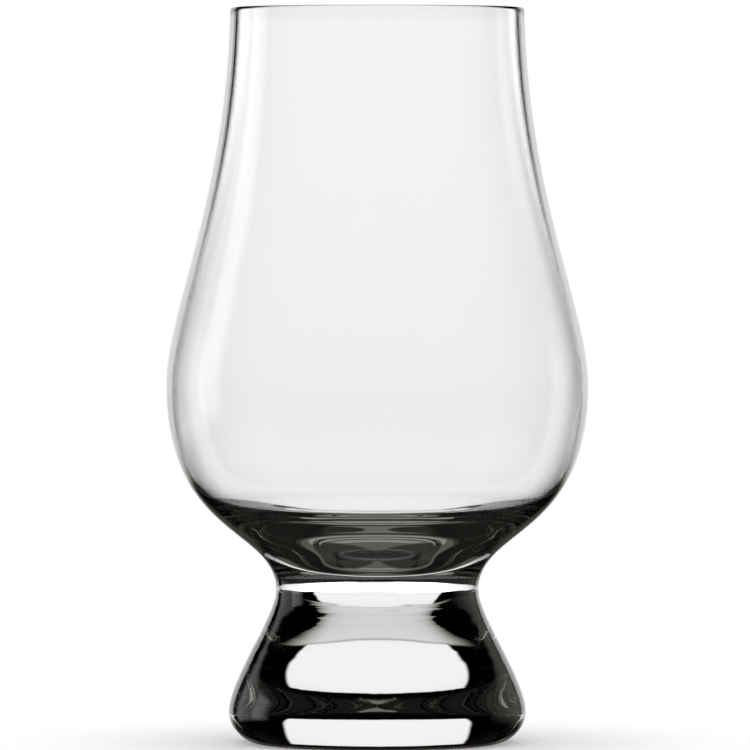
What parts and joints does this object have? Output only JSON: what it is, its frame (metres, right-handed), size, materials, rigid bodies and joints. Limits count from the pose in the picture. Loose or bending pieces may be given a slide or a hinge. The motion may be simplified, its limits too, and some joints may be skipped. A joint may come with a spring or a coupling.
{
  "type": "whisky nosing glass",
  "caption": "Clear crystal whisky nosing glass with a tulip bowl, tapered chimney and a short solid flared foot.",
  "frame": {"origin": "centre of the resting ring under the foot, on the table", "axes": "+Z along the axis of revolution, up from the table to the lip; X and Y are level"},
  "size_m": [0.066, 0.066, 0.115],
  "materials": {
    "bowl_glass": "clear, fire polished",
    "foot_glass": "clear, fire polished"
  },
  "bodies": {
    "root": {"bowl": "bowl_glass", "foot": "foot_glass"}
  },
  "joints": []
}
